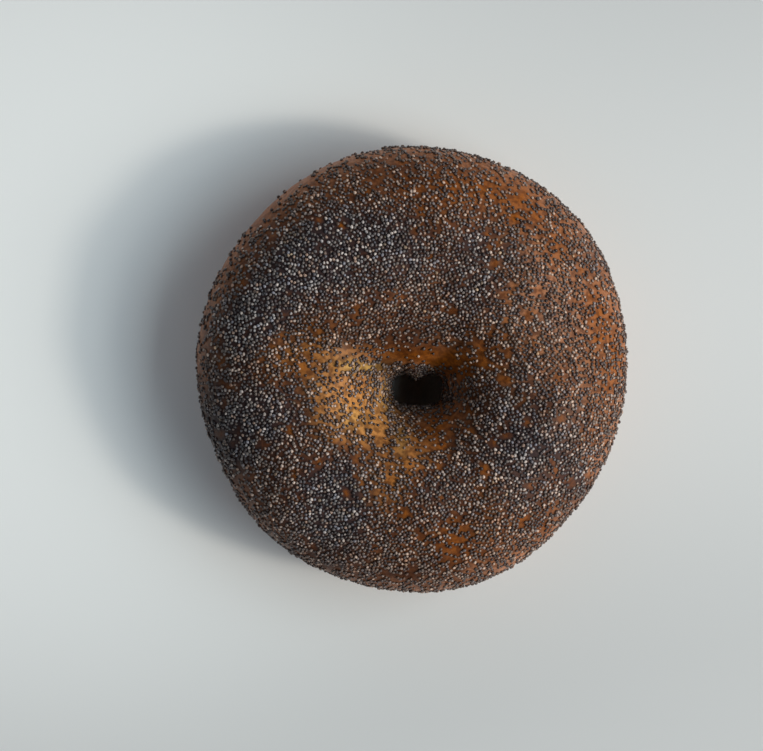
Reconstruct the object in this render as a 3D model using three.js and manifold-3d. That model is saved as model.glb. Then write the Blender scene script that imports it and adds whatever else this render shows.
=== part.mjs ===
// A whole bagel covered in poppy seeds, as it stands on a table: one piece of baked dough with a
// small hole a little off its middle, a round crown all round the hole and a flat underside. The
// largest seeds are fused to the crust.
// Millimetres, +Z up. The origin is on the table, under the middle of the bagel's outline.
import * as THREE from "three";
import { ParametricGeometry } from "three/addons/geometries/ParametricGeometry.js";
import { mergeVertices } from "three/addons/utils/BufferGeometryUtils.js";
import Module from "manifold-3d";

// Driving dimensions: the outline of the crust, seen from above. Each wave round it has a depth in
// mm, and the angle of one peak in degrees from +X. The side that baked against its neighbour is
// flatter, by a depth at an angle, dying away over a spread to both sides.
const OUTLINE_RADIUS = 53;
const OUTLINE_WAVES = [
  { count: 2, depth: 1.03, peak: 72 },
  { count: 3, depth: 0.26, peak: 50 },
  { count: 4, depth: 0.25, peak: 26 },
  { count: 6, depth: 0.22, peak: -15 },
];
const OUTLINE_FLAT = { depth: 1.5, angle: 208, spread: 24 };

// The hole at its narrowest, rather square, with a lump of dough that narrows its +Y side.
const HOLE_CENTRE = new THREE.Vector2(1.4, -4.9);
const HOLE_HALF_LENGTH = 6.3;
const HOLE_HALF_WIDTH = 4.3;
const HOLE_FULLNESS = 3;
const HOLE_LUMP = { depth: 2, angle: 94, spread: 30 };

// Heights above the table.
const CROWN_HEIGHT = 37.2;
const BULGE_HEIGHT = 17;
const WAIST_HEIGHT = 14;

// The section through one side of the ring, as shares of the dough's width from hole to rim.
const CROWN_PLACE = 0.49;
const SOLE_OUTER = 0.74;
const SOLE_INNER = 0.32;

// How square each quarter of the section is: 2 is a plain ellipse, and more is fuller.
const FUNNEL_FULLNESS = 1.95;
const SHOULDER_FULLNESS = 2.1;
const HEEL_FULLNESS = 2.15;
const THROAT_FULLNESS = 2;

// Low swells that the dough keeps from proving and baking. Each is a wave across the crown: its
// depth and length in mm, the way it runs in degrees from +X, and where it starts in degrees.
const SWELLS = [
  { depth: 0.6, length: 92, heading: 25, start: 60 },
  { depth: 0.45, length: 58, heading: 112, start: 190 },
  { depth: 0.28, length: 31, heading: 68, start: 20 },
  { depth: 0.24, length: 26, heading: 155, start: 250 },
  { depth: 0.16, length: 17, heading: 8, start: 120 },
];

// Low folds of dough that run out from the hole. Each has its two ends in mm, its height and
// the half width at which it has mostly died away.
const FOLDS = [
  { from: new THREE.Vector2(-3, 0.8), to: new THREE.Vector2(-17, 0.2), height: 0.75, spread: 1.6 },
  { from: new THREE.Vector2(-2, -11), to: new THREE.Vector2(-1, -23), height: 0.65, spread: 1.9 },
  { from: new THREE.Vector2(8, -1), to: new THREE.Vector2(15, 6), height: 0.45, spread: 1.8 },
];

// The mesh: steps round the ring, and steps across each stretch of the section.
const STEPS_ROUND = 66;
const FUNNEL_STEPS = 10;
const SHOULDER_STEPS = 9;
const HEEL_STEPS = 5;
const SOLE_STEPS = 3;
const THROAT_STEPS = 5;

// Poppy seeds: a bead of this length, width and thickness, sunk into the crust. They lie close on
// the crown and further apart on the slopes below a height, from a share of the funnel's steps up
// to a share of the heel's.
const SEED_SIZE = new THREE.Vector3(1.25, 1.0, 0.95);
const SEED_SIZE_SPREAD = 0.12;
const SEED_SINK = 0.12;
const SEED_SPACING = 5.9;
const SEED_SPACING_ON_SLOPES = 8.5;
const SEED_SLOPE_HEIGHT = 29;
const SEEDED_FUNNEL = 0.4;
const SEEDED_HEEL = 0.3;
const SEED_TRIES = 6000;
const SEED_DRAW = 20817;

const CRUST_COLOUR = 0x8a5428;
const CRUST_ROUGHNESS = 0.55;

const SECTION_STEPS = FUNNEL_STEPS + SHOULDER_STEPS + HEEL_STEPS + SOLE_STEPS + THROAT_STEPS;

// A quarter of a superellipse: how far along it is level and how far it is upright, both 0 to 1.
function quarter(share, fullness) {
  const angle = (share * Math.PI) / 2;
  return {
    rise: Math.sin(angle) ** (2 / fullness),
    reach: 1 - Math.cos(angle) ** (2 / fullness),
  };
}

// How deep a flat or a lump is at an angle: all of it at its own angle, and less to both sides.
function depthAt(angle, { depth, angle: middle, spread }) {
  const turned = THREE.MathUtils.radToDeg(angle) - middle + 180;
  const off = THREE.MathUtils.euclideanModulo(turned, 360) - 180;
  return depth * Math.exp(-((off / spread) ** 2));
}

// The radius of the crust's outline at an angle round the bagel.
function outlineRadius(angle) {
  const round = OUTLINE_WAVES.reduce(
    (radius, wave) =>
      radius + wave.depth * Math.cos(wave.count * (angle - THREE.MathUtils.degToRad(wave.peak))),
    OUTLINE_RADIUS,
  );
  return round - depthAt(angle, OUTLINE_FLAT);
}

// The radius of the hole at its waist at an angle round it: a superellipse less its lump.
function holeRadius(angle) {
  const level = Math.abs(Math.cos(angle) / HOLE_HALF_LENGTH) ** HOLE_FULLNESS;
  const upright = Math.abs(Math.sin(angle) / HOLE_HALF_WIDTH) ** HOLE_FULLNESS;
  return (level + upright) ** (-1 / HOLE_FULLNESS) - depthAt(angle, HOLE_LUMP);
}

// How far the swells and folds lift the crown at a place seen from above.
function lift(place) {
  let height = 0;
  for (const { depth, length, heading, start } of SWELLS) {
    const turned = THREE.MathUtils.degToRad(heading);
    const along = place.x * Math.cos(turned) + place.y * Math.sin(turned);
    const phase = (along * 2 * Math.PI) / length + THREE.MathUtils.degToRad(start);
    height += depth * Math.sin(phase);
  }
  for (const fold of FOLDS) {
    const run = fold.to.clone().sub(fold.from);
    const way = place.clone().sub(fold.from);
    const share = THREE.MathUtils.clamp(way.dot(run) / run.lengthSq(), 0, 1);
    const off = way.addScaledVector(run, -share).length();
    height += fold.height * Math.exp(-((off / fold.spread) ** 2));
  }
  return height;
}

// The outline of the section at one side of the ring: how far it is from the hole's waist, as a
// share of the dough's width, its height on even dough, and how much of a swell lifts it there.
// The steps go up the funnel, over the crown, down to the bulge, in under the heel, across the
// sole and up the throat.
function sectionPoint(step) {
  let left = step;
  if (left <= FUNNEL_STEPS) {
    const { rise, reach } = quarter(left / FUNNEL_STEPS, FUNNEL_FULLNESS);
    const height = THREE.MathUtils.lerp(WAIST_HEIGHT, CROWN_HEIGHT, rise);
    return { share: CROWN_PLACE * reach, height, lifted: rise };
  }
  left -= FUNNEL_STEPS;
  if (left <= SHOULDER_STEPS) {
    const { rise, reach } = quarter(1 - left / SHOULDER_STEPS, SHOULDER_FULLNESS);
    const height = THREE.MathUtils.lerp(BULGE_HEIGHT, CROWN_HEIGHT, rise);
    return { share: THREE.MathUtils.lerp(1, CROWN_PLACE, reach), height, lifted: rise };
  }
  left -= SHOULDER_STEPS;
  if (left <= HEEL_STEPS) {
    const { rise, reach } = quarter(left / HEEL_STEPS, HEEL_FULLNESS);
    const height = BULGE_HEIGHT * (1 - rise);
    return { share: THREE.MathUtils.lerp(1, SOLE_OUTER, reach), height, lifted: 0 };
  }
  left -= HEEL_STEPS;
  if (left <= SOLE_STEPS) {
    const share = THREE.MathUtils.lerp(SOLE_OUTER, SOLE_INNER, left / SOLE_STEPS);
    return { share, height: 0, lifted: 0 };
  }
  left -= SOLE_STEPS;
  const { rise, reach } = quarter(1 - left / THROAT_STEPS, THROAT_FULLNESS);
  return { share: SOLE_INNER * reach, height: WAIST_HEIGHT * (1 - rise), lifted: 0 };
}

// A point of the crust: turn goes once round the ring and across goes once round its section.
function crustPoint(turn, across, target) {
  const angle = turn * 2 * Math.PI;
  const { share, height, lifted } = sectionPoint(across * SECTION_STEPS);
  const ray = new THREE.Vector2(Math.cos(angle), Math.sin(angle));
  const waist = ray.clone().multiplyScalar(holeRadius(angle)).add(HOLE_CENTRE);
  const place = waist.lerp(ray.multiplyScalar(outlineRadius(angle)), share);
  return target.set(place.x, place.y, height + lifted * lift(place));
}

// The way out of the crust at the same place.
function crustNormal(turn, across, target) {
  const reach = 1e-3;
  const here = crustPoint(turn, across, new THREE.Vector3());
  const round = crustPoint(turn + reach, across, new THREE.Vector3()).sub(here);
  const over = crustPoint(turn, across + reach, new THREE.Vector3()).sub(here);
  return target.crossVectors(over, round).normalize();
}

// Repeatable numbers from 0 to 1.
function drawsFrom(start) {
  let state = start;
  return () => {
    state = (state + 0x6d2b79f5) | 0;
    let mixed = Math.imul(state ^ (state >>> 15), 1 | state);
    mixed = (mixed + Math.imul(mixed ^ (mixed >>> 7), 61 | mixed)) ^ mixed;
    return ((mixed ^ (mixed >>> 14)) >>> 0) / 4294967296;
  };
}

// The places of the fused seeds: over the funnel, the crown and the flank, each clear of the rest.
function seedPlaces() {
  const draw = drawsFrom(SEED_DRAW);
  const first = SEEDED_FUNNEL * FUNNEL_STEPS;
  const last = FUNNEL_STEPS + SHOULDER_STEPS + SEEDED_HEEL * HEEL_STEPS;
  const places = [];
  for (let attempt = 0; attempt < SEED_TRIES; attempt += 1) {
    const turn = draw();
    const across = (first + draw() * (last - first)) / SECTION_STEPS;
    const point = crustPoint(turn, across, new THREE.Vector3());
    const spacing = point.z < SEED_SLOPE_HEIGHT ? SEED_SPACING_ON_SLOPES : SEED_SPACING;
    if (places.every((place) => place.point.distanceTo(point) > spacing)) {
      places.push({ turn, across, point });
    }
  }
  return places;
}

// One poppy seed, lying on the crust at a place and turned any way on it.
function seedGeometry(place, draw) {
  const size = 1 + SEED_SIZE_SPREAD * (2 * draw() - 1);
  const seed = new THREE.IcosahedronGeometry(0.5);
  seed.scale(SEED_SIZE.x * size, SEED_SIZE.y * size, SEED_SIZE.z * size);
  seed.rotateZ(draw() * 2 * Math.PI);
  const out = crustNormal(place.turn, place.across, new THREE.Vector3());
  const lie = new THREE.Quaternion().setFromUnitVectors(new THREE.Vector3(0, 0, 1), out);
  const middle = place.point.clone().addScaledVector(out, -SEED_SINK);
  seed.applyMatrix4(new THREE.Matrix4().compose(middle, lie, new THREE.Vector3(1, 1, 1)));
  return seed;
}

const wasm = await Module();
wasm.setup();

// A closed geometry as a solid that can be joined to others.
function solidFrom(geometry) {
  geometry.deleteAttribute("normal");
  geometry.deleteAttribute("uv");
  const merged = mergeVertices(geometry, 1e-4);
  return new wasm.Manifold(
    new wasm.Mesh({
      numProp: 3,
      vertProperties: new Float32Array(merged.getAttribute("position").array),
      triVerts: new Uint32Array(merged.index.array),
    }),
  );
}

function geometryFrom(solid) {
  const mesh = solid.getMesh();
  const geometry = new THREE.BufferGeometry();
  geometry.setAttribute("position", new THREE.BufferAttribute(mesh.vertProperties, mesh.numProp));
  geometry.setIndex(new THREE.BufferAttribute(mesh.triVerts, 1));
  geometry.computeVertexNormals();
  return geometry;
}

function bagelGeometry() {
  const ring = new ParametricGeometry(
    (across, turn, target) => crustPoint(turn, across, target),
    SECTION_STEPS,
    STEPS_ROUND,
  );
  const draw = drawsFrom(SEED_DRAW + 1);
  const seeds = seedPlaces().map((place) => solidFrom(seedGeometry(place, draw)));
  return geometryFrom(wasm.Manifold.union([solidFrom(ring), ...seeds]));
}

const crust = new THREE.MeshStandardMaterial({
  color: CRUST_COLOUR,
  roughness: CRUST_ROUGHNESS,
  metalness: 0,
});

const bagel = new THREE.Mesh(bagelGeometry(), crust);
bagel.name = "bagel";

const part = new THREE.Group();
part.add(bagel);

export default part;
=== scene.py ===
"""A poppy seed bagel on a plain pale table.

The bagel is one closed ring of baked crust, which a Geometry Nodes tree shapes from a grid of
places round it, under thousands of poppy seeds, which a second tree scatters over it. All sizes
are in metres, +Z is up, and the origin is on the table under the middle of the bagel.
"""

import math

import bpy
import numpy as np
from bpy.props import FloatProperty, FloatVectorProperty, IntProperty, PointerProperty
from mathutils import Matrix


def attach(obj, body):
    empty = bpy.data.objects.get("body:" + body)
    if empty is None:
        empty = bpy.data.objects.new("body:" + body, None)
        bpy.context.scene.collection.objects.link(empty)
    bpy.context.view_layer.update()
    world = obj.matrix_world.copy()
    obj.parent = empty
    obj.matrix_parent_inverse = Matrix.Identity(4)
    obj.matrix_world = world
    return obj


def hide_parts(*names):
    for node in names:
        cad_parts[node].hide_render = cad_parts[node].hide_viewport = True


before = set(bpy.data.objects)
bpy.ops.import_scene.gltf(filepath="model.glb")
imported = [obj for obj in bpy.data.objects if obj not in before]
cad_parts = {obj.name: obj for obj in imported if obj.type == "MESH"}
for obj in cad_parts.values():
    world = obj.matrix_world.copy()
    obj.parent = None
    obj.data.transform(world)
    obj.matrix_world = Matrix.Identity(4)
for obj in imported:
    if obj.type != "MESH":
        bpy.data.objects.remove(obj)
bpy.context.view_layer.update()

bl_info = {
    "name": "Poppy Seed Bagel",
    "version": (1, 0, 0),
    "blender": (4, 5, 0),
    "location": "3D View > Sidebar > Bagel",
    "description": "Bakes a seeded bagel and sets it on a plain table",
    "category": "Add Mesh",
}

MM = 0.001
DEG = math.pi / 180

# The outline of the crust from above: waves round it, their depth, and the angle of one peak. One
# side is flatter, where it baked against its neighbour.
OUTLINE_WAVES = [
    (2, 1.03 * MM, 72 * DEG),
    (3, 0.26 * MM, 50 * DEG),
    (4, 0.25 * MM, 26 * DEG),
    (6, 0.22 * MM, -15 * DEG),
]
FLAT_ANGLE = 208 * DEG
FLAT_SPREAD = 24 * DEG

# The hole: where it is, how square it is, and the lump of dough that narrows its far side.
HOLE_X = 1.4 * MM
HOLE_Y = -4.9 * MM
HOLE_FULLNESS = 3
HOLE_LUMP_ANGLE = 94 * DEG
HOLE_LUMP_SPREAD = 30 * DEG

# The section through the ring: heights over the table, shares of the width from hole to rim,
# and how full each quarter is, where 2 is a plain ellipse.
CROWN_HEIGHT = 37.2 * MM
BULGE_HEIGHT = 17 * MM
WAIST_HEIGHT = 14 * MM
CROWN_PLACE = 0.49
SOLE_OUTER = 0.74
SOLE_INNER = 0.32
FUNNEL_FULLNESS = 1.95
SHOULDER_FULLNESS = 2.1
HEEL_FULLNESS = 2.15
THROAT_FULLNESS = 2

# Low swells across the crown: depth, length, heading and start.
SWELLS = [
    (0.6 * MM, 92 * MM, 25 * DEG, 60 * DEG),
    (0.45 * MM, 58 * MM, 112 * DEG, 190 * DEG),
    (0.28 * MM, 31 * MM, 68 * DEG, 20 * DEG),
    (0.24 * MM, 26 * MM, 155 * DEG, 250 * DEG),
    (0.16 * MM, 17 * MM, 8 * DEG, 120 * DEG),
]

# Folds of dough that run out from the hole: their two ends, height and spread.
FOLDS = [
    ((-3 * MM, 0.8 * MM), (-17 * MM, 0.2 * MM), 0.75 * MM, 1.6 * MM),
    ((-2 * MM, -11 * MM), (-1 * MM, -23 * MM), 0.65 * MM, 1.9 * MM),
    ((8 * MM, -1 * MM), (15 * MM, 6 * MM), 0.45 * MM, 1.8 * MM),
]

# The grid that becomes the crust: steps round the ring, and across each stretch of its section.
STEPS_ROUND = 360
FUNNEL_STEPS = 58
SHOULDER_STEPS = 56
HEEL_STEPS = 24
SOLE_STEPS = 14
THROAT_STEPS = 22

# Where the seeds lie closer or further apart than elsewhere, in millimetres: centre, half sizes
# and gain.
SEED_PATCHES = [
    ((3, 3), (10, 3), -0.5),
    ((-19, -6), (7, 9), -0.4),
    ((-14, 3.5), (9, 3), -0.25),
    ((-29, 1), (8, 5), -0.2),
    ((-12, -15), (6, 5), -0.25),
    ((0, -20), (6, 5), -0.3),
    ((7, -13), (6, 7), -0.5),
    ((-6, -10), (4, 6), -0.15),
    ((0, 6), (10, 4), -0.2),
    ((1.5, -1.2), (4, 2), 0.6),
    ((10, 1), (7, 4), -0.5),
    ((9.7, -41), (4.5, 5), -0.6),
    ((-7.5, -31), (4, 5), -0.3),
    ((-2, -28), (5, 5), -0.15),
    ((4, 45), (8, 6), -0.25),
    ((19, 43), (7, 6), -0.3),
    ((25, 37), (6, 6), -0.35),
    ((11, 32.5), (5, 3), -0.2),
    ((34, 29), (4, 6), -0.3),
    ((44, 12), (5, 10), -0.3),
    ((41, -8), (4, 6), -0.15),
    ((-8, 45), (4, 3), -0.4),
    ((-40, 23), (3.5, 3.5), -0.25),
    ((-32, 36), (8, 6), -0.2),
    ((-46, 27), (5, 7), -0.35),
    ((-38, 37), (6, 6), -0.35),
    ((-27, 45), (8, 5), -0.35),
    ((-13, 51), (9, 4), -0.25),
    ((-40, -26), (4, 4), -0.25),
    ((-50.5, 10), (2.5, 12), -0.3),
    ((26.3, -35.8), (2.4, 1.6), -0.4),
    ((31.8, -38), (2.4, 1.6), -0.4),
]

# Where the seeds crowd so close that the crust between them is in the dark, written in the same
# way: painted shade on the crust between them and on the seeds' sides. Then where the crust shows
# golden, cream, orange, rosy or nearly black. The last list darkens the seeds too, as painted
# shade, and a gain below nought there makes them lighter, as painted light.
CROWD_PATCHES = [
    ((-42, 9), (6, 6), 0.8),
    ((-34, 17), (6, 8), 0.8),
    ((-24.5, 27.5), (10, 7), 0.9),
    ((-12, 31), (10, 7), 0.8),
    ((-1, 33), (6, 5), 0.5),
    ((-15, 19), (9, 5), 0.5),
    ((-37, 12), (9, 6), 0.8),
    ((-29, 21), (9, 7), 0.6),
    ((-17, 33), (8, 5), 0.5),
    ((1, 25), (7, 6), 0.5),
    ((22, 26), (6, 5), 0.5),
    ((-16, -29), (6, 6), 0.5),
    ((14, 25), (7, 7), 0.5),
    ((14, 16.5), (8, 6), 0.6),
    ((26, -11), (9, 9), 0.65),
    ((24, -20), (11, 7), 0.75),
    ((-20, -28), (10, 9), 0.9),
    ((-29, -10), (6, 8), 0.6),
    ((-44, -14), (7, 13), 1.0),
    ((-36, -14), (6, 10), 0.6),
    ((-18, -38), (11, 6), 0.7),
    ((-12, 25), (12, 6), 0.3),
    ((6, -29), (8, 6), 0.6),
    ((14, 31), (6, 5), 0.4),
    ((32, 12), (6, 4), 0.4),
    ((22, 1), (5, 5), 0.3),
    ((43, 27), (4, 4), 0.5),
    ((27, -30), (5, 4), 0.6),
    ((38.5, -26.5), (3, 3), 0.8),
    ((38, -22), (7, 9), 0.4),
]
GOLDEN_PATCHES = [
    ((-15, -7), (6, 6), 0.8),
    ((-20, -6), (4.5, 7), 0.9),
    ((-16, 4), (8, 3), 0.4),
    ((-27, 4), (7, 5), 0.35),
    ((-15, -14), (5, 4), 0.4),
    ((-9, -15), (5, 4), 0.75),
    ((-8, -9), (5, 6), 0.5),
    ((-1, -20), (5, 4), 0.55),
    ((-7, -27), (5, 6), 0.5),
]
CREAM_PATCHES = [
    ((-10.5, 0.2), (5, 1.3), 0.75),
    ((-15, 1.2), (4, 1.5), 0.3),
    ((-2.2, -16.5), (1.8, 3.4), 0.4),
    ((-6, -6), (3, 5), 0.55),
    ((-14, -12), (4, 3), 0.3),
]
ORANGE_PATCHES = [
    ((3, 3), (10, 2.6), 0.95),
    ((12, 0), (6, 4), 0.9),
    ((27, 4), (5, 7), 0.2),
    ((6.5, -13.5), (5, 6), 0.75),
    ((-5, -13), (3, 5), 0.4),
    ((-7, 3.5), (5, 2.5), 0.5),
    ((-26, 3), (8, 4), 0.5),
    ((-32, -1), (7, 3), 0.5),
    ((9.7, -41), (4, 5), 1.0),
    ((26.3, -35.8), (2, 1.5), 0.8),
    ((31.8, -38), (2, 1.5), 0.7),
    ((0, -23), (5, 6), 0.7),
    ((4.5, 24), (3, 5), 0.4),
    ((5, 45), (9, 7), 0.6),
    ((-18, 45), (9, 5), 0.45),
    ((18, 43), (7, 5), 0.7),
    ((26, 38), (6, 6), 0.6),
    ((11, 32.5), (5, 3), 0.4),
    ((34, 29), (4, 6), 0.6),
    ((44, 12), (5, 9), 0.55),
    ((49, 2), (3.5, 7), 0.7),
    ((37, -2), (4, 7), 0.3),
    ((-34, 36), (9, 8), 0.4),
    ((-40, 23), (4, 4), 0.6),
    ((-7, -28), (6, 6), 0.5),
    ((-40, -26), (4, 5), 0.3),
]
# Rosy: paler crust on the left rim; on the right side, partly paler crust and partly painted light
# where the window falls strongest.
ROSY_AND_PAINTED_LIGHT_PATCHES = [
    ((30, 24), (9, 12), 0.7),
    ((38, 12), (9, 14), 0.8),
    ((22, 40), (12, 8), 0.4),
    ((42, -8), (6, 12), 0.35),
    ((28, 12), (7, 8), 0.9),
    ((28, -2), (6, 6), 0.6),
    ((-49.5, 12), (3, 14), 0.7),
    ((-42.5, -27), (4, 6), 0.6),
]
# Nearly black: partly more browned crust, and partly painted shade on the left flank away from the
# window and at the corner of the hole. On the seeds a gain above nought paints shade, and one below
# nought paints light.
BROWNED_AND_PAINTED_LIGHT_PATCHES = [
    ((20, 18), (14, 14), -0.4),
    ((25, -12), (12, 12), -0.3),
    ((-13, -22), (9, 10), -0.3),
    ((-25, -2), (6, 8), -0.2),
    ((0, 31), (14, 6), -0.25),
    ((31, -3), (8, 16), -0.2),
    ((20, 28), (10, 10), -0.15),
    ((-20, -13), (6, 6), -0.2),
    ((-22, -42), (14, 6), 0.2),
    ((4, -42), (14, 7), 0.35),
    ((-27, 26), (10, 8), 0.2),
    ((1, 15), (9, 6), 0.25),
    ((-50, -11), (4, 13), 0.8),
    ((-42, -24), (5, 8), 0.4),
    ((16, -8), (4, 8), 0.4),
    ((-1, -9), (6, 4), 0.7),
    ((14, 5), (6, 3), 0.3),
    ((2, 8), (11, 3), 0.7),
    ((0, 5), (8, 3), 0.4),
    ((0, 12), (4, 4), 0.5),
    ((-29, -39), (9, 5), 0.4),
    ((38, 27), (4, 4), 0.3),
    ((32, -36), (5, 4), 0.4),
    ((-38, -10), (7, 12), 0.5),
    ((-43, 3), (5, 8), 0.4),
    ((0, 47), (14, 4), 0.4),
    ((-6, 0.5), (3.5, 2.5), 1.0),
    ((-15, 7.5), (8, 4), 0.6),
    ((1, -15), (3, 3), 0.4),
    ((-4.5, -5.3), (1.8, 3), 0.6),
    ((-46, -18), (5, 10), 0.6),
    ((-22, -46), (14, 5), 0.8),
    ((0, -49), (14, 4), 0.75),
    ((-36, -33), (8, 7), 0.4),
    ((40, -31), (5, 6), 0.65),
]

# How closely the seeds lie where nothing thins them out, how much less closely down in the funnel,
# and how far from the hole the funnel reaches, in millimetres.
FULL_COVER = 0.98
FUNNEL_THINNING = 0.2
FUNNEL_REACH = 24

# Small bare spots all over the crown, where no seed stuck: how many, the start of their draw, how
# far they lie from the middle, and their half sizes, in millimetres.
FRECKLES = 150
FRECKLE_DRAW = 11
FRECKLE_REACH = (16, 50)
FRECKLE_SIZE = (0.6, 1.4)

# How many seeds fall on a square metre before the spacing thins them out, and how they differ:
# their scale, how far they tilt either way, and how far they stand out of the crust.
SEEDS_FALLEN = 15e6
SEED_SCALE = (0.8, 1.15)
SEED_TILT = 0.35
SEED_LIFT = (-0.05 * MM, 0.3 * MM)

# The start of the draw of the crust's dents, lumps and blisters.
CRUST_DRAW = 4.0

# Colours inside a finish: scorched specks of crust; a near-black for a seed's darkest tone and
# for the painted shade in the pits of its coat; and the painted shade down the lower side of a
# lone seed and of a crowded one.
SCORCHED = (0.06, 0.016, 0.006)
DARK_TONE_AND_PIT_SHADE = (0.01, 0.005, 0.005)
LONE_SIDE_PAINTED_SHADE = (0.06, 0.034, 0.027)
CROWDED_SIDE_PAINTED_SHADE = (0.024, 0.023, 0.029)

# The walls of the room: the one on the left and the others, low down and high up, the two beside
# the table, and the ceiling.
LEFT_WALL_LOW = (0.05, 0.042, 0.04)
WALLS_LOW = (0.74, 0.59, 0.54)
LEFT_WALL_HIGH = (0.09, 0.1, 0.11)
WALLS_HIGH = (0.14, 0.205, 0.26)
BESIDE_HIGH = (0.255, 0.35, 0.425)
CEILING = (0.09, 0.09, 0.09)
OVERHEAD = (0.0, 0.0, 0.0)

# Half the table's side, and the height of its top, just under the bagel.
TABLE_HALF = 1.5
TABLE_HEIGHT = -0.1 * MM

# The picture: its width in pixels, its scale, and where the camera stands over the table.
PICTURE_WIDTH = 763
PIXELS_A_MM = 4.12
CAMERA_X = -7.3 * MM
CAMERA_Y = -1.7 * MM

# The window's parts: name, share of the power, azimuth from +X and elevation in degrees, and size
# in metres.
WINDOW_COLOUR = (1.0, 0.87, 0.74)
WINDOW = [
    ("window_sun", 0.52, -15.5, 37.3, (0.35, 0.35)),
    ("window_glow", 0.48, -15.5, 38.5, (0.9, 1.2)),
]
CURTAIN_COLOUR = (0.88, 0.97, 1.0)
CURTAIN = [
    ("curtain_low", 0.3, -6, 37, (2.8, 0.9)),
    ("curtain_high", 0.7, -6, 54, (2.8, 1.1)),
]
WINDOW_DISTANCE = 3.0


# Settings


def length_setting(name, description, default):
    return FloatProperty(
        name=name, description=description, default=default, precision=5, unit="LENGTH"
    )


def colour_setting(name, description, default):
    return FloatVectorProperty(name=name, description=description, default=default, subtype="COLOR")


class BagelCrustSettings(bpy.types.PropertyGroup):
    """Sizes and colours of the baked crust."""

    outline_radius: length_setting(
        "Outline Radius", "Mean radius of the crust seen from above", 53 * MM
    )
    outline_flat: length_setting(
        "Outline Flat",
        "How far the crust is flattened where it baked against its neighbour",
        1.5 * MM,
    )
    hole_half_length: length_setting(
        "Hole Half Length", "Half the hole's longer way across, at its narrowest height", 6.3 * MM
    )
    hole_half_width: length_setting(
        "Hole Half Width", "Half the hole's shorter way across, at its narrowest height", 4.3 * MM
    )
    hole_lump: length_setting("Hole Lump", "How far the lump of dough stands into the hole", 2 * MM)
    unevenness: length_setting(
        "Unevenness", "Depth of the small dents and bumps that the dough keeps", 0.35 * MM
    )
    lump_height: length_setting(
        "Lump Height", "Height of the small lumps under the seeds", 0.3 * MM
    )
    blister_depth: length_setting(
        "Blister Depth", "Height of the fine blisters that boiling leaves on the skin", 0.07 * MM
    )
    brown: colour_setting(
        "Brown Crust", "Colour of the crust over most of the crown", (0.2, 0.072, 0.022)
    )
    golden: colour_setting(
        "Golden Crust", "Colour of the crust where the oven browned it least", (0.6, 0.265, 0.075)
    )
    orange: colour_setting(
        "Orange Crust",
        "Colour of the bare patches where the glaze lies thick",
        (0.33, 0.095, 0.008),
    )
    flank: colour_setting(
        "Flank Crust", "Colour of the sides, which bake paler", (0.46, 0.21, 0.11)
    )
    cream: colour_setting(
        "Cream Crust", "Colour of the streaks that the oven hardly touched", (0.66, 0.42, 0.12)
    )
    dark: colour_setting("Dark Crust", "Colour of the most browned crust", (0.03, 0.009, 0.004))
    shade: colour_setting(
        "Shaded Crust", "Colour of the crust between crowded seeds", (0.034, 0.026, 0.03)
    )
    sole: colour_setting(
        "Baked Sole", "Colour of the underside, which lay on the baking sheet", (0.26, 0.105, 0.04)
    )


class PoppySeedSettings(bpy.types.PropertyGroup):
    """Sizes, spread and colours of the poppy seeds."""

    length: length_setting("Seed Length", "Length of a poppy seed", 0.92 * MM)
    width: length_setting("Seed Width", "Width of a poppy seed", 0.82 * MM)
    thickness: length_setting("Seed Thickness", "Thickness of a poppy seed", 0.76 * MM)
    spacing: length_setting(
        "Seed Spacing", "Least distance between the middles of two seeds", 0.74 * MM
    )
    draw: IntProperty(
        name="Draw",
        description="Start of the random places, turns and tones of the seeds",
        default=17,
    )
    # These are the colours of each seed's top, made light enough to stand as a painted highlight;
    # the lower side of a seed takes painted shade instead.
    grey: colour_setting("Grey Seeds", "Colour of the lightest common seeds", (0.68, 0.62, 0.58))
    slate: colour_setting("Slate Seeds", "Colour of the slate-grey seeds", (0.48, 0.46, 0.46))
    blue: colour_setting("Blue Seeds", "Colour of the dark blue seeds", (0.28, 0.29, 0.34))
    black: colour_setting("Black Seeds", "Colour of the darkest seeds", (0.11, 0.088, 0.092))
    brown: colour_setting("Brown Seeds", "Colour of the reddish seeds", (0.44, 0.31, 0.24))
    pale: colour_setting("Pale Seeds", "Colour of the few pale seeds", (0.62, 0.48, 0.33))


class TableSettings(bpy.types.PropertyGroup):
    """The plain table, the light and the camera."""

    surface: colour_setting("Table", "Colour of the plain table", (0.66, 0.7, 0.71))
    window_power: FloatProperty(
        name="Window Power",
        description="Power of the bright low part of the window",
        default=43.0,
        unit="POWER",
    )
    curtain_power: FloatProperty(
        name="Curtain Power",
        description="Power of the tall soft part of the window",
        default=41.0,
        unit="POWER",
    )
    room_light: FloatProperty(
        name="Room Light",
        description="Brightness of the pale walls all round",
        default=1.0,
    )
    camera_height: length_setting("Camera Height", "Height of the camera over the table", 0.75)


# Node trees


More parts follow.
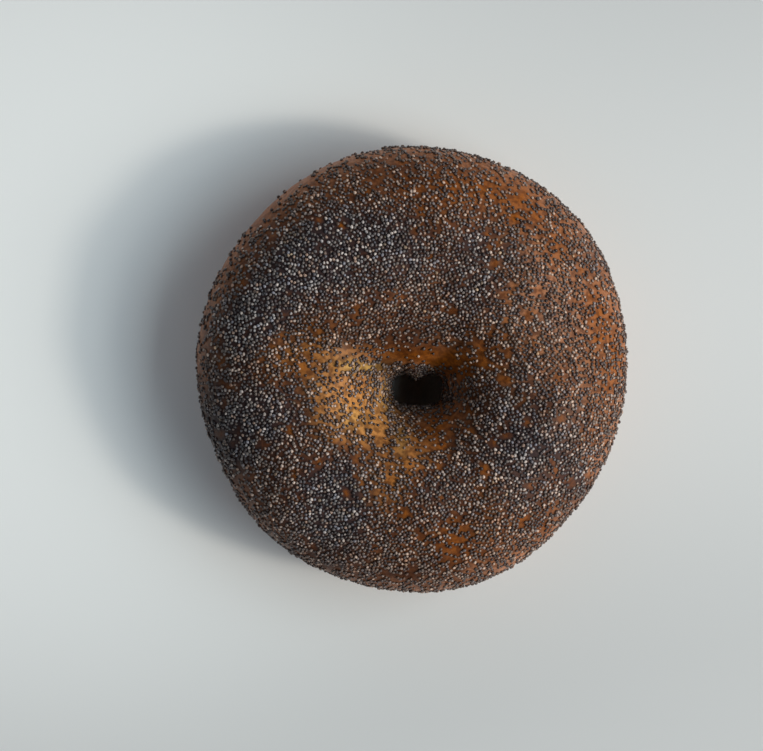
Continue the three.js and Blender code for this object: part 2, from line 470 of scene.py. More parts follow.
class Term:
    """A number in a node tree: sums and products of terms add Math nodes to the tree."""

    def __init__(self, bench, socket):
        self.bench = bench
        self.socket = socket

    def with_math(self, operation, *others):
        node = self.bench.tree.nodes.new("ShaderNodeMath")
        node.operation = operation
        for place, value in enumerate((self, *others)):
            self.bench.feed(node.inputs[place], value)
        return Term(self.bench, node.outputs[0])

    def __add__(self, other):
        return self.with_math("ADD", other)

    def __radd__(self, other):
        return self.with_math("ADD", other)

    def __sub__(self, other):
        return self.with_math("SUBTRACT", other)

    def __mul__(self, other):
        return self.with_math("MULTIPLY", other)

    def __rmul__(self, other):
        return self.with_math("MULTIPLY", other)

    def __truediv__(self, other):
        return self.with_math("DIVIDE", other)

    def cos(self):
        return self.with_math("COSINE")

    def sin(self):
        return self.with_math("SINE")

    def hypot(self, other):
        return (self * self + other * other).with_math("SQRT")

    def bell(self, spread):
        """One at zero, and dying away over the spread on both sides."""
        share = self / spread
        return (share * share * -1.0).with_math("EXPONENT")

    def clamped(self):
        return self.with_math("MINIMUM", 1.0).with_math("MAXIMUM", 0.0)

    def ramp(self, low, high):
        """Zero below low, one above high, and smooth between."""
        node = self.bench.add(
            "ShaderNodeMapRange",
            {"interpolation_type": "SMOOTHSTEP"},
            {"Value": self, "From Min": low, "From Max": high},
        )
        return Term(self.bench, node.outputs["Result"])


class Bench:
    """Adds nodes to a tree and joins them up."""

    def __init__(self, tree):
        self.tree = tree

    def feed(self, socket, value):
        if isinstance(value, Term):
            value = value.socket
        if isinstance(value, bpy.types.NodeSocket):
            self.tree.links.new(value, socket)
        else:
            socket.default_value = value

    def add(self, kind, settings=None, inputs=None):
        node = self.tree.nodes.new(kind)
        for name, value in (settings or {}).items():
            setattr(node, name, value)
        for name, value in (inputs or {}).items():
            self.feed(node.inputs[name], value)
        return node

    def term(self, socket):
        return Term(self, socket)

    def noise(self, vector, scale, detail=2.0, offset=0.0):
        """A noise from 0 to 1 round 0.5, in space."""
        node = self.add(
            "ShaderNodeTexNoise",
            {"noise_dimensions": "4D"},
            {"Vector": vector, "W": offset, "Scale": scale, "Detail": detail},
        )
        return self.term(node.outputs[0])

    def mix(self, share, first, second):
        """One colour over another."""
        node = self.add("ShaderNodeMix", {"data_type": "RGBA"})
        self.feed(node.inputs[0], share)
        self.feed(node.inputs[6], first)
        self.feed(node.inputs[7], second)
        return node.outputs[2]


def new_group(name, kind, inputs, outputs):
    """A node group and its bench, from the name, kind and start value of each socket."""
    group = bpy.data.node_groups.new(name, kind)
    for title, socket, start in inputs:
        made = group.interface.new_socket(title, in_out="INPUT", socket_type=socket)
        if start is not None:
            made.default_value = start
    for title, socket in outputs:
        group.interface.new_socket(title, in_out="OUTPUT", socket_type=socket)
    return group, Bench(group)


def give_tree(host, tree, inputs):
    """Gives a host a Geometry Nodes tree, and sets the inputs that are named."""
    modifier = host.modifiers.new(tree.name, "NODES")
    modifier.node_group = tree
    sockets = {
        item.name: item.identifier
        for item in tree.interface.items_tree
        if item.in_out == "INPUT"
    }
    for name, value in inputs.items():
        modifier[sockets[name]] = value


def baked(host, name):
    """A plain mesh object of what a host's modifiers make. The host is removed."""
    bpy.context.view_layer.update()
    evaluated = host.evaluated_get(bpy.context.evaluated_depsgraph_get())
    mesh = bpy.data.meshes.new_from_object(evaluated)
    mesh.name = name
    piece = bpy.data.objects.new(name, mesh)
    bpy.context.scene.collection.objects.link(piece)
    host.modifiers.clear()
    bpy.data.objects.remove(host)
    return piece


# The crust's shape


def quarter(share, fullness):
    """A quarter of a superellipse: how far up it is, and how far over."""
    angle = share * math.pi / 2
    rise = math.sin(angle) ** (2 / fullness)
    reach = 1 - math.cos(angle) ** (2 / fullness)
    return rise, reach


def between(low, high, share):
    return low + (high - low) * share


def section_point(step):
    """The section's share from hole to rim, its height, and how much a swell lifts it."""
    left = step
    if left < FUNNEL_STEPS:
        rise, reach = quarter(left / FUNNEL_STEPS, FUNNEL_FULLNESS)
        return CROWN_PLACE * reach, between(WAIST_HEIGHT, CROWN_HEIGHT, rise), rise
    left -= FUNNEL_STEPS
    if left < SHOULDER_STEPS:
        rise, reach = quarter(1 - left / SHOULDER_STEPS, SHOULDER_FULLNESS)
        share = between(1, CROWN_PLACE, reach)
        return share, between(BULGE_HEIGHT, CROWN_HEIGHT, rise), rise
    left -= SHOULDER_STEPS
    if left < HEEL_STEPS:
        rise, reach = quarter(left / HEEL_STEPS, HEEL_FULLNESS)
        return between(1, SOLE_OUTER, reach), BULGE_HEIGHT * (1 - rise), 0
    left -= HEEL_STEPS
    if left < SOLE_STEPS:
        return between(SOLE_OUTER, SOLE_INNER, left / SOLE_STEPS), 0, 0
    left -= SOLE_STEPS
    rise, reach = quarter(1 - left / THROAT_STEPS, THROAT_FULLNESS)
    return SOLE_INNER * reach, WAIST_HEIGHT * (1 - rise), 0


def ring_grid():
    """A closed grid, round the ring and across its section, with each place as attributes."""
    steps_across = FUNNEL_STEPS + SHOULDER_STEPS + HEEL_STEPS + SOLE_STEPS + THROAT_STEPS
    stations = [section_point(step) for step in range(steps_across)]
    points = []
    places = []
    for turn_step in range(STEPS_ROUND):
        turn = 2 * math.pi * turn_step / STEPS_ROUND
        for share, height, lifted in stations:
            points.append((share * math.cos(turn), share * math.sin(turn), height))
            places.append((turn, share, height, lifted))
    faces = []
    for turn_step in range(STEPS_ROUND):
        here = turn_step * steps_across
        ahead = (turn_step + 1) % STEPS_ROUND * steps_across
        for step in range(steps_across):
            over = (step + 1) % steps_across
            faces.append((here + step, here + over, ahead + over, ahead + step))
    mesh = bpy.data.meshes.new("ring_grid")
    mesh.from_pydata(points, [], faces)
    for column, name in enumerate(("turn", "share", "height", "lifted")):
        attribute = mesh.attributes.new(name, "FLOAT", "POINT")
        attribute.data.foreach_set("value", np.array([place[column] for place in places], "f"))
    mesh.shade_smooth()
    return mesh


def crust_tree():
    """The tree that puts each place of the grid on the crust."""
    tree, bench = new_group(
        "Bagel Crust",
        "GeometryNodeTree",
        [
            ("Grid", "NodeSocketGeometry", None),
            ("Outline Radius", "NodeSocketFloat", 0.05),
            ("Outline Flat", "NodeSocketFloat", 0.0),
            ("Hole Half Length", "NodeSocketFloat", 0.006),
            ("Hole Half Width", "NodeSocketFloat", 0.004),
            ("Hole Lump", "NodeSocketFloat", 0.001),
            ("Unevenness", "NodeSocketFloat", 0.0),
            ("Lump Height", "NodeSocketFloat", 0.0),
            ("Blister Depth", "NodeSocketFloat", 0.0),
            ("Draw", "NodeSocketFloat", 0.0),
            ("Crust", "NodeSocketMaterial", None),
        ],
        [("Crust", "NodeSocketGeometry")],
    )
    sizes = bench.add("NodeGroupInput").outputs

    def place(name):
        node = bench.add("GeometryNodeInputNamedAttribute", {"data_type": "FLOAT"}, {"Name": name})
        return bench.term(node.outputs["Attribute"])

    turn = place("turn")
    share = place("share")
    cosine = turn.cos()
    sine = turn.sin()

    outline = bench.term(sizes["Outline Radius"])
    for count, depth, peak in OUTLINE_WAVES:
        outline = outline + ((turn - peak) * count).cos() * depth
    off_flat = (turn - FLAT_ANGLE).with_math("WRAP", math.pi, -math.pi)
    outline = outline - off_flat.bell(FLAT_SPREAD) * sizes["Outline Flat"]

    def raised(way, size):
        reach = (way / sizes[size]).with_math("ABSOLUTE")
        return reach.with_math("POWER", HOLE_FULLNESS)

    squared = raised(cosine, "Hole Half Length") + raised(sine, "Hole Half Width")
    off_lump = (turn - HOLE_LUMP_ANGLE).with_math("WRAP", math.pi, -math.pi)
    lump = off_lump.bell(HOLE_LUMP_SPREAD) * sizes["Hole Lump"]
    hole = squared.with_math("POWER", -1 / HOLE_FULLNESS) - lump

    inner = share * -1.0 + 1.0
    x = (hole * cosine + HOLE_X) * inner + outline * cosine * share
    y = (hole * sine + HOLE_Y) * inner + outline * sine * share

    lift = share * 0.0
    for depth, length, heading, start in SWELLS:
        along = x * math.cos(heading) + y * math.sin(heading)
        lift = lift + (along * (2 * math.pi / length) + start).sin() * depth
    for (from_x, from_y), (to_x, to_y), height, spread in FOLDS:
        run_x = to_x - from_x
        run_y = to_y - from_y
        run = run_x**2 + run_y**2
        passed = ((x - from_x) * (run_x / run) + (y - from_y) * (run_y / run)).clamped()
        off_fold = (x - from_x - passed * run_x).hypot(y - from_y - passed * run_y)
        lift = lift + off_fold.bell(spread) * height
    z = place("height") + place("lifted") * lift

    position = bench.add("ShaderNodeCombineXYZ", None, {"X": x, "Y": y, "Z": z})
    shaped = bench.add(
        "GeometryNodeSetPosition",
        None,
        {"Geometry": sizes["Grid"], "Position": position.outputs[0]},
    )

    here = bench.add("GeometryNodeInputPosition").outputs[0]
    dents = (bench.noise(here, 75.0, 2.0, sizes["Draw"]) - 0.5) * sizes["Unevenness"] * 2.0
    lumps = (bench.noise(here, 170.0, 2.0, sizes["Draw"]) - 0.5) * sizes["Lump Height"] * 2.0
    blisters = (bench.noise(here, 420.0, 3.0, sizes["Draw"]) - 0.5) * sizes["Blister Depth"] * 2.0
    height = bench.add("ShaderNodeSeparateXYZ", None, {0: here}).outputs["Z"]
    off_table = bench.term(height).ramp(0.0, 5 * MM)
    normal = bench.add("GeometryNodeInputNormal").outputs[0]
    out = bench.add(
        "ShaderNodeVectorMath",
        {"operation": "SCALE"},
        {0: normal, "Scale": (dents + lumps + blisters) * off_table},
    )
    uneven = bench.add(
        "GeometryNodeSetPosition",
        None,
        {"Geometry": shaped.outputs[0], "Offset": out.outputs[0]},
    )
    realized = bench.add("GeometryNodeRealizeInstances", None, {0: uneven.outputs[0]})
    painted = bench.add(
        "GeometryNodeSetMaterial",
        None,
        {"Geometry": realized.outputs[0], "Material": sizes["Crust"]},
    )
    bench.add("NodeGroupOutput", None, {0: painted.outputs[0]})
    return tree


# The seeds' shape and spread


def smooth_step(values, low, high):
    share = np.clip((values - low) / (high - low), 0, 1)
    return share * share * (3 - 2 * share)


def patched(points, patches):
    """The sum of soft round patches at each point, which fade out towards the underside."""
    x, y, z = points.T / MM
    total = np.zeros(len(points))
    for (middle_x, middle_y), (half_x, half_y), gain in patches:
        away = ((x - middle_x) / half_x) ** 2 + ((y - middle_y) / half_y) ** 2
        total = total + gain * np.exp(-away)
    return total * smooth_step(z, 2, 12)


def seed_cover(points):
    """How closely seeds cover the crust at each point, from 0 to 1."""
    x, y, z = points.T / MM
    flank = between(0.4, 1, smooth_step(z, 18, 34)) * smooth_step(z, 3, 14)
    from_hole = np.hypot(x - HOLE_X / MM, y - HOLE_Y / MM)
    in_funnel = 1 - smooth_step(from_hole, 8, 22)
    throat = smooth_step(z, 12, 20)
    funnel = (FULL_COVER - FUNNEL_THINNING * in_funnel) * throat
    cover = np.where(from_hole < FUNNEL_REACH, funnel, FULL_COVER * flank)
    return np.clip(cover + patched(points, SEED_PATCHES) * (cover > 0.02), 0, 1)


def freckles():
    """The small bare spots as patches, each at its own place and with its own size."""
    draw = np.random.default_rng(FRECKLE_DRAW)
    spots = []
    for _ in range(FRECKLES):
        turn = draw.uniform(0, 2 * math.pi)
        away = draw.uniform(*FRECKLE_REACH)
        middle = (away * math.cos(turn), away * math.sin(turn))
        spots.append((middle, tuple(draw.uniform(*FRECKLE_SIZE, 2)), 1.0))
    return spots


def paint(mesh, name, values, least=0):
    """Keeps a value up to 1 at each point of the mesh, for its material."""
    attribute = mesh.attributes.new(name, "FLOAT", "POINT")
    attribute.data.foreach_set("value", np.clip(values, least, 1).astype("f"))


def seed_tree():
    """The tree that scatters the seeds of one tone over the crust."""
    tree, bench = new_group(
        "Poppy Seeds",
        "GeometryNodeTree",
        [
            ("Crust", "NodeSocketGeometry", None),
            ("Seed Length", "NodeSocketFloat", 0.001),
            ("Seed Width", "NodeSocketFloat", 0.001),
            ("Seed Thickness", "NodeSocketFloat", 0.001),
            ("Seed Spacing", "NodeSocketFloat", 0.001),
            ("Draw", "NodeSocketInt", 0),
            ("Share From", "NodeSocketFloat", 0.0),
            ("Share To", "NodeSocketFloat", 1.0),
            ("Seed Coat", "NodeSocketMaterial", None),
        ],
        [("Seeds", "NodeSocketGeometry")],
    )
    sizes = bench.add("NodeGroupInput").outputs
    here = bench.add("GeometryNodeInputPosition").outputs[0]
    cover = bench.add("GeometryNodeInputNamedAttribute", {"data_type": "FLOAT"}, {"Name": "cover"})
    clumps = bench.noise(here, 220.0, 3.0, 3.0).ramp(0.3, 0.55) * 0.15 + 0.9
    gaps = bench.noise(here, 800.0, 1.0, 8.0).ramp(0.4, 0.52) * 0.15 + 0.87
    spread = bench.add(
        "GeometryNodeDistributePointsOnFaces",
        {"distribute_method": "POISSON"},
        {
            "Mesh": sizes["Crust"],
            "Distance Min": sizes["Seed Spacing"],
            "Density Max": SEEDS_FALLEN,
            "Density Factor": bench.term(cover.outputs["Attribute"]) * clumps * gaps,
            "Seed": sizes["Draw"],
        },
    )

    def drawn(low, high, number):
        """A random value for each seed."""
        seed = bench.term(sizes["Draw"]) + number
        node = bench.add("FunctionNodeRandomValue", {"data_type": "FLOAT"})
        bench.feed(node.inputs[2], low)
        bench.feed(node.inputs[3], high)
        bench.feed(node.inputs["Seed"], seed)
        return bench.term(node.outputs[1])

    toned = bench.add(
        "GeometryNodeStoreNamedAttribute",
        {"data_type": "FLOAT", "domain": "POINT"},
        {"Geometry": spread.outputs["Points"], "Name": "tone", "Value": drawn(0.0, 1.0, 1)},
    )
    kind = drawn(0.0, 1.0, 2)
    outside = bench.term(
        bench.add(
            "FunctionNodeBooleanMath",
            {"operation": "OR"},
            {
                0: kind.with_math("LESS_THAN", sizes["Share From"]).socket,
                1: kind.with_math("GREATER_THAN", sizes["Share To"]).socket,
            },
        ).outputs[0]
    )
    kept = bench.add(
        "GeometryNodeDeleteGeometry",
        {"domain": "POINT"},
        {"Geometry": toned.outputs[0], "Selection": outside},
    )

    ball = bench.add("GeometryNodeMeshUVSphere", None, {"Segments": 6, "Rings": 5, "Radius": 0.5})
    part = bench.add("ShaderNodeSeparateXYZ", None, {0: here})
    along = bench.term(part.outputs["Z"])
    kidney_x = along * sizes["Seed Length"]
    bend = along * along * 0.5
    kidney_y = (bench.term(part.outputs["X"]) + bend) * sizes["Seed Width"]
    kidney_z = bench.term(part.outputs["Y"]) * sizes["Seed Thickness"]
    form = bench.add("ShaderNodeCombineXYZ", None, {"X": kidney_x, "Y": kidney_y, "Z": kidney_z})
    # The height across each seed, from 0 under it to 1 on top, by which the seed coat paints a
    # highlight on the top and shade down the side.
    crowned = bench.add(
        "GeometryNodeStoreNamedAttribute",
        {"data_type": "FLOAT", "domain": "POINT"},
        {
            "Geometry": ball.outputs["Mesh"],
            "Name": "crown",
            "Value": bench.term(part.outputs["Y"]) + 0.5,
        },
    )
    kidney = bench.add(
        "GeometryNodeSetPosition",
        None,
        {"Geometry": crowned.outputs[0], "Position": form.outputs[0]},
    )

    lie = bench.add(
        "ShaderNodeCombineXYZ",
        None,
        {
            "X": drawn(-SEED_TILT, SEED_TILT, 3),
            "Y": drawn(-SEED_TILT, SEED_TILT, 4),
            "Z": drawn(-math.pi, math.pi, 5),
        },
    )
    turned = bench.add(
        "FunctionNodeRotateRotation",
        {"rotation_space": "LOCAL"},
        {"Rotation": spread.outputs["Rotation"], "Rotate By": lie.outputs[0]},
    )
    placed = bench.add(
        "GeometryNodeInstanceOnPoints",
        None,
        {
            "Points": kept.outputs[0],
            "Instance": kidney.outputs[0],
            "Rotation": turned.outputs[0],
            "Scale": drawn(*SEED_SCALE, 6),
        },
    )
    up = bench.add("ShaderNodeCombineXYZ", None, {"Z": drawn(*SEED_LIFT, 7)})
    raised = bench.add(
        "GeometryNodeTranslateInstances",
        None,
        {"Instances": placed.outputs[0], "Translation": up.outputs[0], "Local Space": True},
    )
    realized = bench.add("GeometryNodeRealizeInstances", None, {0: raised.outputs[0]})
    smooth = bench.add(
        "GeometryNodeSetShadeSmooth",
        None,
        {"Geometry": realized.outputs[0], "Shade Smooth": True},
    )
    painted = bench.add(
        "GeometryNodeSetMaterial",
        None,
        {"Geometry": smooth.outputs[0], "Material": sizes["Seed Coat"]},
    )
    bench.add("NodeGroupOutput", None, {0: painted.outputs[0]})
    return tree


# Materials


def browning_group():
    """How far the oven browned the crust: broad patches, small mottles, ragged edges and flank."""
    group, bench = new_group(
        "Oven Browning",
        "ShaderNodeTree",
        [
            ("Position", "NodeSocketVector", None),
            ("Patch Scale", "NodeSocketFloat", 110.0),
            ("Mottle Scale", "NodeSocketFloat", 800.0),
        ],
        [
            ("Patches", "NodeSocketFloat"),
            ("Mottles", "NodeSocketFloat"),
            ("Ragged", "NodeSocketFloat"),
            ("Flank", "NodeSocketFloat"),
            ("Sole", "NodeSocketFloat"),
        ],
    )
    given = bench.add("NodeGroupInput").outputs
    position = given["Position"]
    patches = bench.noise(position, given["Patch Scale"], 3.0).ramp(0.32, 0.68)
    mottles = bench.noise(position, given["Mottle Scale"], 1.0, 8.0).ramp(0.36, 0.64) * -1.0 + 1.0
    ragged = bench.noise(position, 230.0, 3.0, 9.0) - 0.5
    part = bench.add("ShaderNodeSeparateXYZ", None, {0: position}).outputs
    height = bench.term(part["Z"]) + ragged * 12 * MM
    flank = height.ramp(21 * MM, 36 * MM) * -1.0 + 1.0
    sole = height.ramp(1 * MM, 8 * MM) * -1.0 + 1.0
    outputs = {
        "Patches": patches,
        "Mottles": mottles,
        "Ragged": ragged,
        "Flank": flank,
        "Sole": sole,
    }
    bench.add("NodeGroupOutput", None, outputs)
    return group


def skin_group():
    """The fine relief of a boiled and baked skin, as a height."""
    group, bench = new_group(
        "Blistered Skin",
        "ShaderNodeTree",
        [("Position", "NodeSocketVector", None), ("Blister Scale", "NodeSocketFloat", 900.0)],
        [("Height", "NodeSocketFloat")],
    )
    given = bench.add("NodeGroupInput").outputs
    cells = bench.add(
        "ShaderNodeTexVoronoi",
        {"feature": "SMOOTH_F1"},
        {"Vector": given["Position"], "Scale": given["Blister Scale"], "Smoothness": 0.6},
    )
    domes = bench.term(cells.outputs["Distance"]) * -1.0 + 1.0
    grain = bench.noise(given["Position"], 2600.0, 3.0, 2.0)
    bench.add("NodeGroupOutput", None, {"Height": domes * 0.6 + grain * 0.4})
    return group


def coat_group():
    """The tone of each seed, and the net of tiny pits on its coat."""
    group, bench = new_group(
        "Seed Coat",
        "ShaderNodeTree",
        [("Position", "NodeSocketVector", None), ("Pit Scale", "NodeSocketFloat", 6500.0)],
        [
            ("Tone", "NodeSocketFloat"),
            ("Crown", "NodeSocketFloat"),
            ("Crowd", "NodeSocketFloat"),
            ("Cover", "NodeSocketFloat"),
            ("Dark", "NodeSocketFloat"),
            ("Heap", "NodeSocketFloat"),
            ("Net", "NodeSocketFloat"),
        ],
    )
    given = bench.add("NodeGroupInput").outputs
    outputs = {}
    # The crown places each seed's painted highlight and shade; crowd and dark carry the patches of
    # painted shade and light.
    for name in ("tone", "crown", "crowd", "cover", "dark"):
        kept = bench.add("ShaderNodeAttribute", {"attribute_name": name})
        outputs[name.title()] = kept.outputs["Fac"]
    broad = bench.noise(given["Position"], 340.0, 2.0, 7.0).ramp(0.32, 0.68) * 1.3 + 0.38
    fine = bench.noise(given["Position"], 800.0, 1.0, 8.0).ramp(0.36, 0.64) * 1.4 + 0.3
    cells = bench.add(
        "ShaderNodeTexVoronoi",
        {"feature": "DISTANCE_TO_EDGE"},
        {"Vector": given["Position"], "Scale": given["Pit Scale"]},
    )
    outputs["Heap"] = broad * fine
    outputs["Net"] = bench.term(cells.outputs["Distance"]).ramp(0.0, 0.25)
    bench.add("NodeGroupOutput", None, outputs)
    return group


def new_material(name):
    material = bpy.data.materials.new(name)
    material.use_nodes = True
    shader = material.node_tree.nodes["Principled BSDF"]
    return material, Bench(material.node_tree), shader


def opaque(colour):
    return (*colour, 1.0)


def crust_material(settings):
    """Baked crust: brown on the crown, paler down the flank, golden where it was shaded."""
    material, bench, shader = new_material("baked_crust")
    position = bench.add("ShaderNodeTexCoord").outputs["Object"]
    browning = bench.add("ShaderNodeGroup", {"node_tree": browning_group()}, {"Position": position})
    patches = bench.term(browning.outputs["Patches"])
    mottles = bench.term(browning.outputs["Mottles"])
    ragged = bench.term(browning.outputs["Ragged"])

    def painted(name):
        node = bench.add("ShaderNodeAttribute", {"attribute_name": name})
        share = bench.term(node.outputs["Fac"])
        return (share + ragged * 0.9 * share.ramp(0.0, 0.3)).clamped()

    darker = [0.6 * part for part in settings.brown]
    crown = bench.mix(patches, opaque(settings.brown), opaque(darker))
    # The rosy patches are paler crust, and on the right side partly painted light.
    pinker = bench.mix(painted("rosy"), crown, opaque(settings.flank))
    sides = bench.mix(browning.outputs["Flank"], pinker, opaque(settings.flank))
    glazed = bench.mix(painted("orange"), sides, opaque(settings.orange))
    gilded = bench.mix(painted("golden"), glazed, opaque(settings.golden))
    creamy = bench.mix(painted("cream"), gilded, opaque(settings.cream))
    scorched = mottles * (bench.term(browning.outputs["Flank"]) * -0.25 + 0.65)
    mottled = bench.mix(scorched, creamy, opaque(SCORCHED))
    soled = bench.mix(bench.term(browning.outputs["Sole"]) * 0.75, mottled, opaque(settings.sole))
    # The dark patches brown the crust and in places paint shade; the crowd patches paint the shade
    # between close seeds.
    browned = bench.mix(painted("dark") * 0.85, soled, opaque(settings.dark))
    baked_colour = bench.mix(painted("crowd") * 0.85, browned, opaque(settings.shade))
    bench.feed(shader.inputs["Base Color"], baked_colour)
    bench.feed(shader.inputs["Roughness"], patches * -0.12 + 0.5)
    shader.inputs["Specular IOR Level"].default_value = 0.12
    skin = bench.add("ShaderNodeGroup", {"node_tree": skin_group()}, {"Position": position})
    bump = bench.add(
        "ShaderNodeBump",
        None,
        {"Strength": 0.6, "Distance": 0.12 * MM, "Height": skin.outputs["Height"]},
    )
    bench.feed(shader.inputs["Normal"], bump.outputs["Normal"])
    return material


def seed_material(name, colour, coat):
    """A seed's dry netted coat, lighter or darker from seed to seed."""
    material, bench, shader = new_material(name)
    position = bench.add("ShaderNodeTexCoord").outputs["Object"]
    coat_of = bench.add("ShaderNodeGroup", {"node_tree": coat}, {"Position": position})
    tone = bench.term(coat_of.outputs["Tone"])
    net = bench.term(coat_of.outputs["Net"])
    # Away from the crowded patches each seed takes a warm cast, painted light from the window and
    # the lit crust round it; inside them it keeps its own cooler colour.
    warm = [part * share for part, share in zip(colour, (1.0, 0.8, 0.66))]
    colour = bench.mix(coat_of.outputs["Crowd"], opaque(warm), opaque(colour))
    darker = bench.mix(0.8, colour, opaque(DARK_TONE_AND_PIT_SHADE))
    # Seeds are darker where they lie thin. The dark patches darken them further as painted shade,
    # and lighten them as painted light where their gain is below nought.
    cover_gain = bench.term(coat_of.outputs["Cover"]).ramp(0.3, 0.85) * 0.5 + 0.5
    painted_shade_and_light = bench.term(coat_of.outputs["Dark"]) * -0.5 + 1.0
    lit = ((tone.ramp(0.4, 0.72) * 0.95 + 0.04) * coat_of.outputs["Heap"] * cover_gain * painted_shade_and_light).clamped()
    toned = bench.mix(lit, darker, colour)
    # The top of each seed keeps its tone, lightened into a painted highlight, and its lower side
    # turns to a dark painted shade, cooler in the crowded patches.
    crown = bench.term(coat_of.outputs["Crown"]).ramp(0.4, 0.92)
    side = bench.mix(coat_of.outputs["Crowd"], opaque(LONE_SIDE_PAINTED_SHADE), opaque(CROWDED_SIDE_PAINTED_SHADE))
    toned = bench.mix(crown, side, toned)
    # The pits of the net take painted shade.
    pit_shaded = bench.mix(net * 0.25, toned, darker)
    bench.feed(shader.inputs["Base Color"], pit_shaded)
    bench.feed(shader.inputs["Roughness"], tone * -0.12 + 0.48)
    shader.inputs["Specular IOR Level"].default_value = 0.6
    bump = bench.add(
        "ShaderNodeBump",
        {"invert": True},
        {"Strength": 0.15, "Distance": 0.03 * MM, "Height": net},
    )
    bench.feed(shader.inputs["Normal"], bump.outputs["Normal"])
    return material


def table_material(settings):
    """A plain matt table top."""
    material, bench, shader = new_material("table_top")
    position = bench.add("ShaderNodeTexCoord").outputs["Object"]
    part = bench.add("ShaderNodeSeparateXYZ", None, {0: position}).outputs
    # The table is paler round the middle and darker towards the window: a painted pool of light.
    near_window = bench.term(part["X"]).ramp(-0.1, 0.09) * -0.5
    off_middle = (bench.term(part["Y"]) - 0.02) * 7.2
    painted_light_pool = (near_window - off_middle * off_middle + 0.95).ramp(0.0, 1.0)
    paler = [min(1.0, 1.42 * part) for part in settings.surface]
    colour = bench.mix(painted_light_pool, opaque(settings.surface), opaque(paler))
    bench.feed(shader.inputs["Base Color"], colour)
    shader.inputs["Roughness"].default_value = 0.7
    shader.inputs["Specular IOR Level"].default_value = 0.2
    return material


# Operators


class BAGEL_OT_bake_crust(bpy.types.Operator):
    """Shape and brown the ring of crust"""

    bl_idname = "bagel.bake_crust"
    bl_label = "Bake Crust"

    def execute(self, context):
        settings = context.scene.bagel_crust
        host = bpy.data.objects.new("crust_grid", ring_grid())
        context.scene.collection.objects.link(host)
        inputs = {
            "Outline Radius": settings.outline_radius,
            "Outline Flat": settings.outline_flat,
            "Hole Half Length": settings.hole_half_length,
            "Hole Half Width": settings.hole_half_width,
            "Hole Lump": settings.hole_lump,
            "Unevenness": settings.unevenness,
            "Lump Height": settings.lump_height,
            "Blister Depth": settings.blister_depth,
            "Draw": CRUST_DRAW,
            "Crust": crust_material(settings),
        }
        give_tree(host, crust_tree(), inputs)
        crust = baked(host, "baked_crust")
        for name in ("turn", "share", "height", "lifted"):
            crust.data.attributes.remove(crust.data.attributes[name])
        places = np.zeros(len(crust.data.vertices) * 3, "f")
        crust.data.vertices.foreach_get("co", places)
        points = places.reshape(-1, 3)
        spots = patched(points, freckles())
        paint(crust.data, "cover", seed_cover(points) - 0.7 * spots)
        # Crowd paints the shade between close seeds; rosy and dark add painted light and shade to
        # paler and browner crust.
        paint(crust.data, "crowd", patched(points, CROWD_PATCHES) - 0.6 * spots)
        paint(crust.data, "golden", patched(points, GOLDEN_PATCHES))
        paint(crust.data, "cream", patched(points, CREAM_PATCHES))
        paint(crust.data, "orange", patched(points, ORANGE_PATCHES) + 0.5 * spots)
        paint(crust.data, "rosy", patched(points, ROSY_AND_PAINTED_LIGHT_PATCHES))
        paint(crust.data, "dark", patched(points, BROWNED_AND_PAINTED_LIGHT_PATCHES), -1)
        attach(crust, "root")
        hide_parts("bagel")
        return {"FINISHED"}


class BAGEL_OT_scatter_seeds(bpy.types.Operator):
    """Scatter the poppy seeds over the crust, one piece for each tone of seed"""

    bl_idname = "bagel.scatter_seeds"
    bl_label = "Scatter Seeds"

    def execute(self, context):
        settings = context.scene.poppy_seeds
        crust = bpy.data.objects.get("baked_crust")
        if crust is None:
            raise RuntimeError("Bake the crust first: the seeds lie on it")
        tree = seed_tree()
        coat = coat_group()
        tones = [
            ("grey_seeds", settings.grey, 0.21),
            ("slate_seeds", settings.slate, 0.22),
            ("blue_seeds", settings.blue, 0.18),
            ("black_seeds", settings.black, 0.22),
            ("brown_seeds", settings.brown, 0.155),
            ("pale_seeds", settings.pale, 0.015),
        ]
        share = 0.0
        for name, colour, portion in tones:
            host = bpy.data.objects.new(name + "_host", crust.data.copy())
            context.scene.collection.objects.link(host)
            inputs = {
                "Seed Length": settings.length,
                "Seed Width": settings.width,
                "Seed Thickness": settings.thickness,
                "Seed Spacing": settings.spacing,
                "Draw": settings.draw,
                "Share From": share,
                "Share To": share + portion,
                "Seed Coat": seed_material(name, colour, coat),
            }
            give_tree(host, tree, inputs)
            seeds = baked(host, name)
            seeds.data.materials.pop(index=0)
            for spare in ("golden", "cream", "orange", "rosy", "id"):
                found = seeds.data.attributes.get(spare)
                if found is not None:
                    seeds.data.attributes.remove(found)
            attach(seeds, "root")
            share += portion
        return {"FINISHED"}


class BAGEL_OT_set_stage(bpy.types.Operator):
    """Lay the plain table, hang the window's light and set the camera over the bagel"""

    bl_idname = "bagel.set_stage"
    bl_label = "Set Stage"

    def execute(self, context):
        settings = context.scene.bagel_table
        lay_table(settings)
        for name, share, azimuth, elevation, size in WINDOW:
            power = settings.window_power * share
            hang_light(name, power, azimuth, elevation, size, WINDOW_COLOUR)
        for name, share, azimuth, elevation, size in CURTAIN:
            power = settings.curtain_power * share
            hang_light(name, power, azimuth, elevation, size, CURTAIN_COLOUR)
        light_room(settings)
        set_camera(settings)
        return {"FINISHED"}


# The stage


def lay_table(settings):
    """A plain square table top, just under the bagel."""
    signs = ((-1, -1), (1, -1), (1, 1), (-1, 1))
    corners = [(x * TABLE_HALF, y * TABLE_HALF, TABLE_HEIGHT) for x, y in signs]
    mesh = bpy.data.meshes.new("table_top")
    mesh.from_pydata(corners, [], [(0, 1, 2, 3)])
    mesh.materials.append(table_material(settings))
    table = bpy.data.objects.new("table_top", mesh)
    bpy.context.scene.collection.objects.link(table)


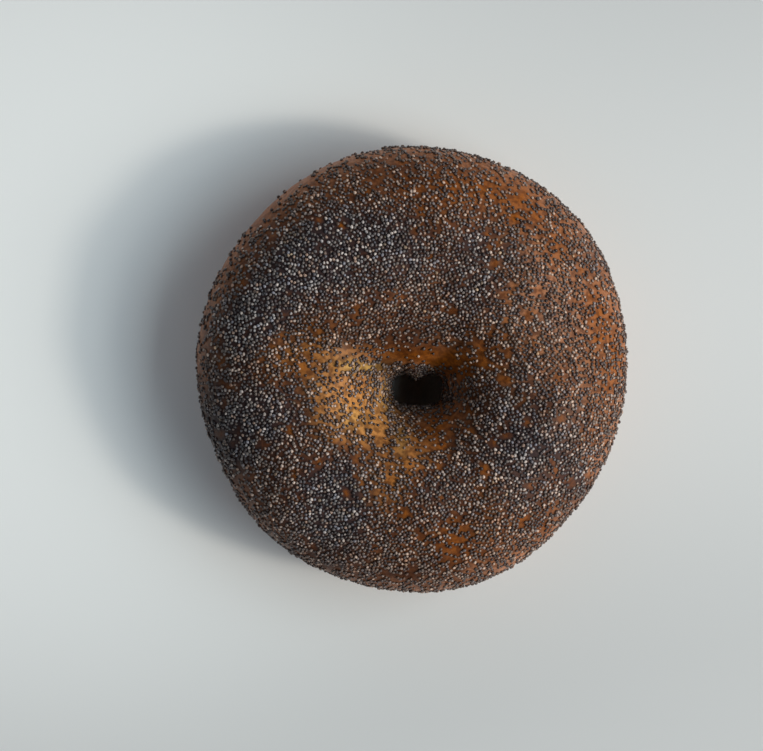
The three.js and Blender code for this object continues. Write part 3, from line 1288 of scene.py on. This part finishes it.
def hang_light(name, power, azimuth, elevation, size, colour):
    """A rectangle of light that faces the bagel, azimuth from +X and elevation in degrees."""
    light = bpy.data.lights.new(name, "AREA")
    light.shape = "RECTANGLE"
    light.size, light.size_y = size
    light.energy = power
    light.color = colour
    lamp = bpy.data.objects.new(name, light)
    turned = azimuth * DEG
    raised = elevation * DEG
    lamp.location = (
        WINDOW_DISTANCE * math.cos(raised) * math.cos(turned),
        WINDOW_DISTANCE * math.cos(raised) * math.sin(turned),
        WINDOW_DISTANCE * math.sin(raised),
    )
    lamp.rotation_euler = lamp.location.to_track_quat("Z", "Y").to_euler()
    bpy.context.scene.collection.objects.link(lamp)


def light_room(settings):
    """Walls all round: warm and pale low down, cool above, dark on the left and overhead."""
    world = bpy.data.worlds.new("room")
    world.use_nodes = True
    bench = Bench(world.node_tree)
    background = world.node_tree.nodes["Background"]
    up = bench.add("ShaderNodeTexCoord").outputs["Generated"]
    way = bench.add("ShaderNodeSeparateXYZ", None, {0: up}).outputs
    height = bench.term(way["Z"])
    off_left = bench.term(way["X"]).ramp(-0.9, -0.3)
    low_walls = bench.mix(off_left, opaque(LEFT_WALL_LOW), opaque(WALLS_LOW))
    beside = (bench.term(way["Y"]) * way["Y"]).ramp(0.1, 0.7)
    ahead = bench.mix(off_left, opaque(LEFT_WALL_HIGH), opaque(WALLS_HIGH))
    high_walls = bench.mix(beside, ahead, opaque(BESIDE_HIGH))
    walls = bench.mix(height.ramp(0.3, 0.65), low_walls, high_walls)
    ceiling = bench.mix(height.ramp(0.78, 0.9), walls, opaque(CEILING))
    room = bench.mix(height.ramp(0.92, 0.97), ceiling, opaque(OVERHEAD))
    bench.feed(background.inputs["Color"], room)
    background.inputs["Strength"].default_value = settings.room_light
    bpy.context.scene.world = world


def set_camera(settings):
    """A camera that looks straight down, a little off the bagel's middle."""
    scene = bpy.context.scene
    frame_width = PICTURE_WIDTH / PIXELS_A_MM * MM
    camera = bpy.data.cameras.new("camera")
    camera.sensor_width = 36
    camera.lens = camera.sensor_width * (settings.camera_height - BULGE_HEIGHT) / frame_width
    holder = bpy.data.objects.new("camera", camera)
    holder.location = (CAMERA_X, CAMERA_Y, settings.camera_height)
    scene.collection.objects.link(holder)
    scene.camera = holder
    scene.view_settings.view_transform = "Standard"


# The panel


class BAGEL_PT_kitchen(bpy.types.Panel):
    """Lists the steps that make the bagel, with their sizes and colours"""

    bl_idname = "BAGEL_PT_kitchen"
    bl_label = "Poppy Seed Bagel"
    bl_space_type = "VIEW_3D"
    bl_region_type = "UI"
    bl_category = "Bagel"

    def draw(self, context):
        steps = [
            (context.scene.bagel_crust, BAGEL_OT_bake_crust),
            (context.scene.poppy_seeds, BAGEL_OT_scatter_seeds),
            (context.scene.bagel_table, BAGEL_OT_set_stage),
        ]
        for settings, operator in steps:
            box = self.layout.box()
            for name in settings.__annotations__:
                box.prop(settings, name)
            box.operator(operator.bl_idname)


CLASSES = (
    BagelCrustSettings,
    PoppySeedSettings,
    TableSettings,
    BAGEL_OT_bake_crust,
    BAGEL_OT_scatter_seeds,
    BAGEL_OT_set_stage,
    BAGEL_PT_kitchen,
)


def register():
    for made in CLASSES:
        bpy.utils.register_class(made)
    bpy.types.Scene.bagel_crust = PointerProperty(type=BagelCrustSettings)
    bpy.types.Scene.poppy_seeds = PointerProperty(type=PoppySeedSettings)
    bpy.types.Scene.bagel_table = PointerProperty(type=TableSettings)


def unregister():
    del bpy.types.Scene.bagel_table
    del bpy.types.Scene.poppy_seeds
    del bpy.types.Scene.bagel_crust
    for made in reversed(CLASSES):
        bpy.utils.unregister_class(made)


def main():
    register()
    bpy.ops.bagel.bake_crust()
    bpy.ops.bagel.scatter_seeds()
    bpy.ops.bagel.set_stage()


if __name__ == "__main__":
    main()
